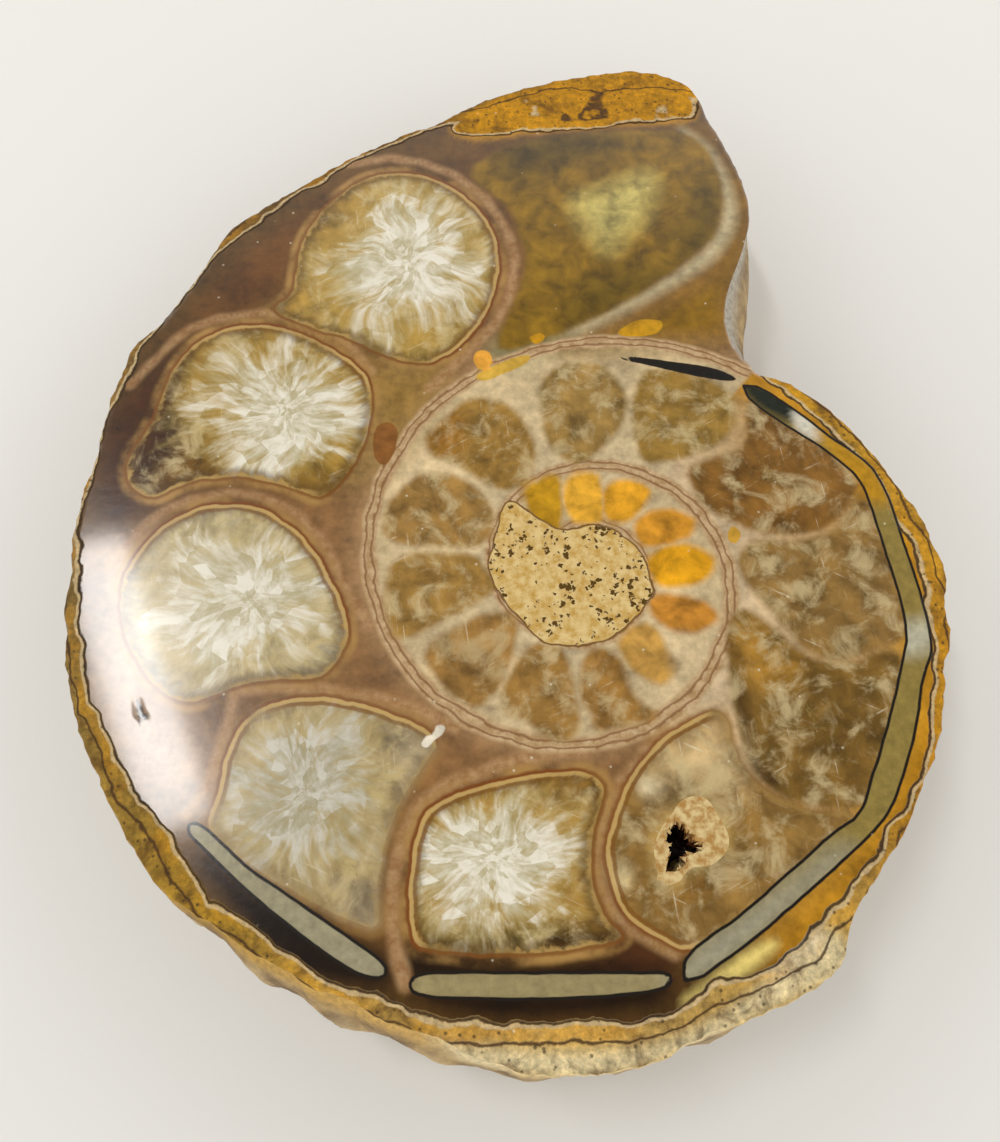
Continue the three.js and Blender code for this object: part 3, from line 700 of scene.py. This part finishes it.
cell_mm = add(tree, *PLUS, attribute(tree, "cell", "Fac"), add(tree, *TIMES, waver, 0.6))
depth = add(tree, *TIMES, cell_mm, -1.0)
toothed = add(tree, *PLUS, depth, add(tree, *TIMES, teeth, 1.6))
lined = add(tree, *STEP, fringe, 0.45, 0.85)

# The fillings: clouded stone and loose fibres under a bloom of ice-white needles, then the fringes, skin
# and fine linings by the walls.
murk = add(tree, *NOISE, place, 0.34, 5, 0.6, 2.0, 0.35)
filled = add(tree, *SCALE, attribute(tree, "filling", "Vector"),
             add(tree, *RANGE, murk, 0.32, 0.68, 0.5, 1.5))
cloudy = add(tree, *STEP, frost, 0.19, 0.28)
frosting = add(tree, *STEP, add(tree, *NOISE, place, 0.3, 5, 0.66, 2.0, 0.5), 0.46, 0.68)
filled = add(tree, *MIX, add(tree, *TIMES, add(tree, *TIMES, frosting, cloudy), 0.75), filled,
             paint("#CDB98C"))
for lean in (0.5, 1.7, 2.7):
    needle = add(tree, "ShaderNodeMapping", {"vector_type": "TEXTURE"}, place, (0, 0, 0), (0, 0, lean),
                 (7.0, 0.4, 1.0))
    needle = add(tree, *STEP, add(tree, *NOISE, needle, 1.0, 2, 0.5), 0.66, 0.76)
    needle = add(tree, *TIMES, needle, add(tree, *TIMES, add(tree, *STEP, murk, 0.42, 0.6), cloudy))
    filled = add(tree, *MIX, add(tree, *TIMES, needle, 0.5), filled, paint("#EADFC0"))
shard_place = add(tree, "ShaderNodeCombineXYZ", {}, 0.0, 0.0, add(tree, *TIMES, from_middle, 0.9))
shard_place = add(tree, *SHIFT, bearing, shard_place)
shard = add(tree, "ShaderNodeSeparateColor", {}, add(tree, *CELLS, shard_place, 4.6).node.outputs["Color"])
bloom = add(tree, *PLUS, add(tree, *TIMES, arms, 1.5), add(tree, *TIMES, spines, 1.0))
bloom = add(tree, *PLUS, bloom, add(tree, *TIMES, shard, 0.16))
bloom = add(tree, *MINUS, bloom, add(tree, *TIMES, from_middle, 1.1))
bloom = add(tree, *PLUS, bloom, frost)
bloom = add(tree, *MINUS, bloom, add(tree, *MINUS, 0.6, add(tree, *TIMES, lined, 0.6)))
milky = add(tree, *MIX, 0.5, filled, paint("#C8AE68"))
filled = add(tree, *MIX, add(tree, *STEP, bloom, -0.2, 0.5), filled, milky)
feather = add(tree, *PLUS, add(tree, *TIMES, shard, 0.36),
              add(tree, *TIMES, add(tree, *PLUS, spines, 0.5), 0.65))
feather = add(tree, *PLUS, feather, add(tree, *TIMES, add(tree, *MINUS, murk, 0.5), 0.9))
ice = add(tree, *MIX, add(tree, *STEP, feather, 0.2, 0.8), paint("#BDB28E"), paint("#EFE9D8"))
ice = add(tree, *SCALE, ice, add(tree, *RANGE, frost, 1.08, 1.3, 1.0, 0.72))
filled = add(tree, *MIX, add(tree, *STEP, bloom, 0.15, 0.8), filled, ice)
murky = add(tree, *TIMES, add(tree, *STEP, toothed, 1.9, 0.7), add(tree, *TIMES, lined, 0.6))
filled = add(tree, *MIX, murky, filled, paint("#4E3416"))
fringed = add(tree, *TIMES, add(tree, *STEP, toothed, 0.9, 0.5),
              add(tree, *TIMES, lined, add(tree, *STEP, cloud, 0.35, 0.6)))
filled = add(tree, *MIX, fringed, filled, paint("#B29258"))
skin = add(tree, *TIMES, add(tree, *STEP, depth, 0.42, 0.28), add(tree, *TIMES, lined, 0.8))
filled = add(tree, *MIX, skin, filled, paint("#7A4A22"))
by_septum = add(tree, *TIMES, add(tree, *STEP, attribute(tree, "arch", "Fac"), 2.6, 0.9), 0.8)
for place_mm, code in [(0.12, "#7A4420"), (0.5, "#C8A66A"), (0.9, "#7E5426")]:
    line = add(tree, *STEP, add(tree, *SIZE, add(tree, *MINUS, depth, place_mm)), 0.26, 0.1)
    filled = add(tree, *MIX, add(tree, *TIMES, line, by_septum), filled, paint(code))
halo = add(tree, *TIMES, add(tree, *STEP, cell_mm, 1.0, 0.3), add(tree, *STEP, cloud, 0.35, 0.65))
colour = add(tree, *MIX, add(tree, *TIMES, halo, lined), colour, paint("#AC8650"))
softness = add(tree, *RANGE, lined, 0.0, 1.0, 0.55, 0.18)
inside = add(tree, *STEP, cell_mm, softness, add(tree, *TIMES, softness, -1.0))
colour = add(tree, *MIX, inside, colour, filled)

# The sandy core, with pores of half a millimetre inside a brown skin.
core_mm = add(tree, *PLUS, attribute(tree, "core", "Fac"), add(tree, *TIMES, waver, 1.0))
sand = add(tree, *MIX, add(tree, *STEP, grain, 0.3, 0.65), paint("#C29A50"), paint("#E2C88E"))
pore_cells = add(tree, *CELLS,
                 add(tree, *SHIFT, place, add(tree, *NOISE, place, 2.0, 2, 0.5).node.outputs["Color"]), 1.6)
pore_size = add(tree, "ShaderNodeSeparateColor", {}, pore_cells.node.outputs["Color"])
porous = add(tree, *STEP, add(tree, *NOISE, place, 0.22, 2, 0.5), 0.34, 0.55)
pore_size = add(tree, *TIMES, add(tree, *TIMES, pore_size, 0.6), porous)
pore = add(tree, *STEP, add(tree, *MINUS, pore_cells, pore_size), 0.04, -0.05)
sand = add(tree, *MIX, pore, sand, paint("#5A4218"))
colour = add(tree, *MIX, add(tree, *STEP, core_mm, 0.1, -0.1), colour, sand)
colour = add(tree, *MIX, add(tree, *STEP, add(tree, *SIZE, core_mm), 0.14, 0.05), colour, paint("#7A5A34"))

# The rind outside the outer wall: stained, gritty crust with lenses of ochre and thin lines along the wall.
rind_mm = add(tree, *PLUS, attribute(tree, "rind", "Fac"), add(tree, *TIMES, waver, 1.2))
sway = add(tree, *MINUS, add(tree, *NOISE, place, 0.13, 2, 0.5), 0.5)
rind_mm = add(tree, *PLUS, rind_mm, add(tree, *TIMES, sway, 3.4))
crust = add(tree, *STEP, rind_mm, -0.05, 0.1)
colour = add(tree, *MIX, crust, colour, add(tree, *SCALE, attribute(tree, "crust", "Vector"), ground_shade))
rust = add(tree, *STEP, add(tree, *NOISE, place, 0.3, 5, 0.65, 2.0, 0.8), 0.48, 0.66)
colour = add(tree, *MIX, add(tree, *TIMES, add(tree, *TIMES, rust, crust), 0.65), colour, paint("#5A3A14"))
ochre = add(tree, *STEP, add(tree, *SIZE, add(tree, *MINUS, rind_mm, 1.1)), 0.6, 0.35)
ochre = add(tree, *TIMES, add(tree, *TIMES, ochre, crust), add(tree, *STEP, cloud, 0.4, 0.62))
colour = add(tree, *MIX, add(tree, *TIMES, ochre, 0.5), colour, paint("#CC922C"))
for place_mm, half, code in [(0.15, 0.16, "#33200E"), (0.45, 0.15, "#CDB488"), (1.75, 0.12, "#4A2E12")]:
    line = add(tree, *STEP, add(tree, *SIZE, add(tree, *MINUS, rind_mm, place_mm)), half + 0.08,
               half - 0.08)
    colour = add(tree, *MIX, add(tree, *TIMES, add(tree, *TIMES, line, crust), 0.9), colour, paint(code))
gritty = add(tree, *RANGE, add(tree, *NOISE, place, 1.3, 6, 0.75), 0.3, 0.7, 0.5, 1.35)
gritty = add(tree, *MIX, crust, (1, 1, 1, 1), gritty)
colour = add(tree, "ShaderNodeVectorMath", {"operation": "MULTIPLY"}, colour, gritty)
speck = add(tree, *STEP, add(tree, *CELLS, place, 1.1), 0.22, 0.12)
colour = add(tree, *MIX, add(tree, *TIMES, add(tree, *TIMES, speck, crust), 0.7), colour, paint("#3B2A18"))

# The stone of the siphuncle inside its black edge.
tube_mm = add(tree, *PLUS, attribute(tree, "tube", "Fac"), add(tree, *TIMES, waver, 0.25))
tube_stone = add(tree, *SCALE, attribute(tree, "tube_fill", "Vector"),
                 add(tree, *RANGE, grain, 0.3, 0.7, 0.75, 1.2))
colour = add(tree, *MIX, add(tree, *STEP, tube_mm, 0.08, -0.08), colour, tube_stone)
colour = add(tree, *MIX, add(tree, *STEP, add(tree, *SIZE, add(tree, *PLUS, tube_mm, 0.06)), 0.2, 0.08),
             colour, paint("#1E1812"))

# Pale dust caught in the polish, and the small marks.
dust_cells = add(tree, *CELLS, place, 0.55)
dust_pick = add(tree, "ShaderNodeSeparateColor", {}, dust_cells.node.outputs["Color"])
dust = add(tree, *TIMES, add(tree, *STEP, dust_cells, 0.1, 0.04), add(tree, *STEP, dust_pick, 0.6, 0.9))
colour = add(tree, *MIX, add(tree, *TIMES, dust, 0.55), colour, paint("#E6DCC0"))
mark_mm = add(tree, *PLUS, attribute(tree, "mark", "Fac"), add(tree, *TIMES, waver, 0.5))
colour = add(tree, *MIX, add(tree, *STEP, mark_mm, 0.1, -0.1), colour,
             add(tree, *SCALE, attribute(tree, "mark_colour", "Vector"), ground_shade))

# A little grain shows through the polish; the pores are open, and the crust is rough and has no gloss.
open_pores = add(tree, *TIMES, pore, add(tree, *STEP, core_mm, 0.1, -0.1))
relief = add(tree, *MINUS, add(tree, *TIMES, grain, 0.02), add(tree, *TIMES, open_pores, 0.25))
relief = add(tree, *PLUS, relief,
             add(tree, *TIMES, add(tree, *TIMES, crust, add(tree, *NOISE, place, 2.2, 5, 0.7)), 0.25))
dull = add(tree, *RANGE, crust, 0.0, 1.0, 0.22, 0.85)
gloss = add(tree, *RANGE, crust, 0.0, 1.0, 0.5, 0.0)
normal = add(tree, "ShaderNodeBump", {}, 0.6, MM, None, relief)
colour = add(tree, "ShaderNodeHueSaturation", {}, 0.5, 1.04, 1.0, 1.0, colour)
shader = add(tree, "ShaderNodeBsdfPrincipled", {}, colour, 0.0, dull, 1.5, Normal=normal, Coat_Weight=gloss,
             Coat_Roughness=0.08, Coat_IOR=1.5, Specular_IOR_Level=0.35)
add(tree, "ShaderNodeOutputMaterial", {}, shader)

# Weathered shell and stone: the unpolished edge and back, dull tan, paler on the ribs, brown between.
weathered, tree = new_material("weathered_shell")
place = place_in_mm(tree)
mottle = add(tree, *NOISE, place, 0.25, 6, 0.65, 2.0, 0.4)
grit = add(tree, *NOISE, place, 1.6, 5, 0.7)
shell = add(tree, *MIX, add(tree, *STEP, mottle, 0.35, 0.65), paint("#6E5532"), paint("#B79A66"))
shell = add(tree, *MIX, add(tree, *TIMES, add(tree, *STEP, attribute(tree, "crest", "Fac"), 0.1, 0.9), 0.5),
            shell, paint("#CDB68A"))
shell = add(tree, *MIX, add(tree, *TIMES, add(tree, *STEP, grit, 0.55, 0.7), 0.6), shell, paint("#4A3520"))
depth = add(tree, *AXES, place).node.outputs["Z"]
rusty = add(tree, *SCALE, attribute(tree, "crust", "Vector"), add(tree, *RANGE, grit, 0.3, 0.7, 0.6, 1.25))
below = add(tree, *STEP, add(tree, *PLUS, depth, add(tree, *TIMES, mottle, 2.0)), 0.6, -1.6)
colour = add(tree, *MIX, below, rusty, shell)
relief = add(tree, *PLUS, add(tree, *TIMES, grit, 0.35), add(tree, *TIMES, mottle, 0.3))
normal = add(tree, "ShaderNodeBump", {}, 0.7, MM, None, relief)
shader = add(tree, "ShaderNodeBsdfPrincipled", {}, colour, 0.0, 0.7, 1.5, Normal=normal)
add(tree, "ShaderNodeOutputMaterial", {}, shader)

crest = fossil_mesh.attributes.new("crest", "FLOAT", "POINT")
crest.data.foreach_set("value", np.append((rib_share * ribs).ravel(), [0, 0]))
fossil_mesh.materials.append(polished)
fossil_mesh.materials.append(weathered)
fossil = bpy.data.objects.new("ammonite_slice", fossil_mesh)
bpy.context.scene.collection.objects.link(fossil)
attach(fossil, "root")
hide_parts("ammonite_half")

# The pocket's crystals: a crust of blunt calcite points that grew inwards from the walls of a hollow. The
# saw ground its top flush with the face; below, the points are rusty, and painted shade turns them black
# down the hollow.
HOLE = [(676, 820), (688, 826), (694, 838), (703, 845), (699, 853), (690, 857), (686, 866), (674, 875),
        (661, 876), (660, 866), (668, 858), (667, 846), (664, 838), (668, 828)]
CRUST_COLUMNS = 96
hole_loop = smooth_loop(on_face(HOLE), CRUST_COLUMNS)
middle = hole_loop.mean(axis=0)
hole_loop, outer_loop = (loop[np.argsort(np.arctan2(*(loop - middle).T[::-1]))]
                         for loop in (hole_loop, pocket_loop))
# Rows of the crust, each a share of its outline and a depth in mm: up the outside and over the top, then
# down the ragged inside.
OUTSIDE = [(0.35, 3.5), (0.75, 2.2), (1.0, 0.6), (1.04, 0.05), (1.02, -0.02), (0.9, -0.02)]
INSIDE = [(1.0, 0.0), (0.98, 0.25), (1.0, 0.8), (0.95, 1.6), (0.85, 2.6), (0.6, 3.4), (0.3, 3.7)]
random = np.random.default_rng(11)
outer = [np.column_stack([middle + (outer_loop - middle) * share, np.full(CRUST_COLUMNS, -drop)])
         for share, drop in OUTSIDE]
inner = []
for share, drop in INSIDE:
    jag = 1 + 0.16 * np.repeat(random.uniform(-1, 1, CRUST_COLUMNS // 3), 3)
    jag += 0.07 * random.uniform(-1, 1, CRUST_COLUMNS)
    ragged = middle + (hole_loop - middle) * (share * jag)[:, None]
    inner.append(np.column_stack([ragged, np.full(CRUST_COLUMNS, -drop)]))
crust_rows = np.array(outer + inner)
number = np.arange(len(crust_rows) * CRUST_COLUMNS).reshape(-1, CRUST_COLUMNS)
beside = np.roll(number, -1, axis=1)
crust_quads = np.stack([number[:-1], beside[:-1], beside[1:], number[1:]], axis=-1).reshape(-1, 4)
first = number.size
last = first + 1
crust_foot = np.stack([beside[0], number[0], np.full(CRUST_COLUMNS, first)], axis=-1)
crust_end = np.stack([number[-1], beside[-1], np.full(CRUST_COLUMNS, last)], axis=-1)
crust_faces = crust_quads.tolist() + crust_foot.tolist() + crust_end.tolist()
crust_points = np.vstack([crust_rows.reshape(-1, 3), [(*middle, -4.2)], [(*middle, -3.8)]])
CRYSTALS = 130
CRYSTAL_SIDES = 5
foot = np.array(inner)[random.integers(1, 6, CRYSTALS), random.integers(0, CRUST_COLUMNS, CRYSTALS)]
growth = np.column_stack([middle - foot[:, :2], np.full(CRYSTALS, 0.7)])
growth += random.normal(0, 0.5, (CRYSTALS, 3))
growth /= np.linalg.norm(growth, axis=1)[:, None]
girth = random.uniform(0.14, 0.36, CRYSTALS)[:, None]
aside = np.cross(growth, (0.3, 0.2, 1.0))
aside /= np.linalg.norm(aside, axis=1)[:, None]
spin = random.uniform(0, 2 * np.pi, CRYSTALS)[:, None]
spin = spin + np.arange(CRYSTAL_SIDES) * 2 * np.pi / CRYSTAL_SIDES
upright = np.cross(growth, aside)
corner = np.cos(spin)[..., None] * aside[:, None] + np.sin(spin)[..., None] * upright[:, None]
bases = (foot - growth * 0.2)[:, None] + corner * girth[:, None]
tips = foot + growth * girth * random.uniform(1.5, 2.6, CRYSTALS)[:, None]
crystal_points = np.concatenate([bases, tips[:, None]], axis=1)
crystal_points[..., 2] = np.minimum(crystal_points[..., 2], -0.03)
start = len(crust_points) + np.arange(CRYSTALS)[:, None] * (CRYSTAL_SIDES + 1)
side = np.arange(CRYSTAL_SIDES)
facets = np.stack([start + side, start + (side + 1) % CRYSTAL_SIDES,
                   np.broadcast_to(start + CRYSTAL_SIDES, (CRYSTALS, CRYSTAL_SIDES))], axis=-1)
crust_faces += facets.reshape(-1, 3).tolist() + (start + side[::-1]).tolist()
crust_points = np.vstack([crust_points, crystal_points.reshape(-1, 3)])
crystal_mesh = bpy.data.meshes.new("pocket_druse")
crystal_mesh.from_pydata((AXIS + crust_points * MM).tolist(), [], crust_faces)

# Calcite druse: points with flat glassy facets, cream where the saw ground them, rust below them, and
# painted shade that deepens to black down the hollow.
druse, tree = new_material("calcite_druse")
place = place_in_mm(tree)
depth = add(tree, *AXES, place).node.outputs["Z"]
grain = add(tree, *NOISE, place, 1.2, 4, 0.6)
cream = add(tree, *MIX, add(tree, *STEP, grain, 0.35, 0.65), paint("#B08444"), paint("#DCC48C"))
# Rust just below the ground top, then painted shade: the points go black towards the bottom of the hollow.
colour = add(tree, *MIX, add(tree, *STEP, depth, -0.05, -1.0), cream, paint("#6A3A14"))
colour = add(tree, *MIX, add(tree, *STEP, depth, -0.8, -2.6), colour, paint("#1E0C04"))
shader = add(tree, "ShaderNodeBsdfPrincipled", {}, colour, 0.0, 0.35, 1.5)
add(tree, "ShaderNodeOutputMaterial", {}, shader)
crystal_mesh.materials.append(druse)
crystals = bpy.data.objects.new("pocket_druse", crystal_mesh)
bpy.context.scene.collection.objects.link(crystals)
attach(crystals, "root")
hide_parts("pocket_crystals")

# The table: a plain board that the slice lies on, painted a pale warm white. The paint is smooth and half
# dull, with the faint smudges of use.
FLOOR_HALF = 1.5
floor_mesh = bpy.data.meshes.new("table")
floor_corners = [(-1, -1), (1, -1), (1, 1), (-1, 1)]
floor_mesh.from_pydata([(x * FLOOR_HALF, y * FLOOR_HALF, 0) for x, y in floor_corners], [], [(0, 1, 2, 3)])
board, tree = new_material("painted_board")
place = add(tree, "ShaderNodeTexCoord", {}).node.outputs["Object"]
smudge = add(tree, *NOISE, place, 6, 4, 0.6)
colour = add(tree, *MIX, smudge, paint("#ECEAE5"), paint("#F2F1ED"))
add(tree, "ShaderNodeOutputMaterial", {}, add(tree, "ShaderNodeBsdfPrincipled", {}, colour, 0.0, 0.5, 1.45))
floor_mesh.materials.append(board)
floor = bpy.data.objects.new("table", floor_mesh)
bpy.context.scene.collection.objects.link(floor)

# The light: an even pale room, brighter round its sides than overhead, and one tall window. The window
# stands where the polish mirrors it to the eye as a white band along the slice's left edge.
GLARE_LINE = np.column_stack([on_face([(95, 555), (180, 825)]), (0, 0)])
GLARE = GLARE_LINE.mean(axis=0)
WINDOW_DISTANCE = 1400
WINDOW_SIZE = (0.09, 0.44)
WINDOW_POWER = 3.3
ROOM_SIDES = 1.58
ROOM_OVERHEAD = 0.12
glance = (GLARE - eye) * (1, 1, -1)
glance /= np.linalg.norm(glance)
along = GLARE_LINE[1] - GLARE_LINE[0]
along -= glance * (along @ glance)
along /= np.linalg.norm(along)
window_light = bpy.data.lights.new("window", "AREA")
window_light.shape = "RECTANGLE"
window_light.size, window_light.size_y = WINDOW_SIZE
window_light.energy = WINDOW_POWER
window = bpy.data.objects.new("window", window_light)
window.location = AXIS + (GLARE + glance * WINDOW_DISTANCE) * MM
window_axes = np.column_stack([np.cross(along, glance), along, glance])
window.rotation_euler = Matrix(window_axes.tolist()).to_euler()
bpy.context.scene.collection.objects.link(window)
world = bpy.data.worlds.new("room")
world.use_nodes = True
tree = world.node_tree
tree.nodes.clear()
height = add(tree, *AXES, add(tree, "ShaderNodeTexCoord", {})).node.outputs["Z"]
brightness = add(tree, *STEP, height, 0.55, 0.85, ROOM_SIDES, ROOM_OVERHEAD)
add(tree, "ShaderNodeOutputWorld", {},
    add(tree, "ShaderNodeBackground", {}, (1.0, 0.98, 0.95, 1), brightness))
bpy.context.scene.world = world
bpy.context.scene.view_settings.view_transform = "Standard"
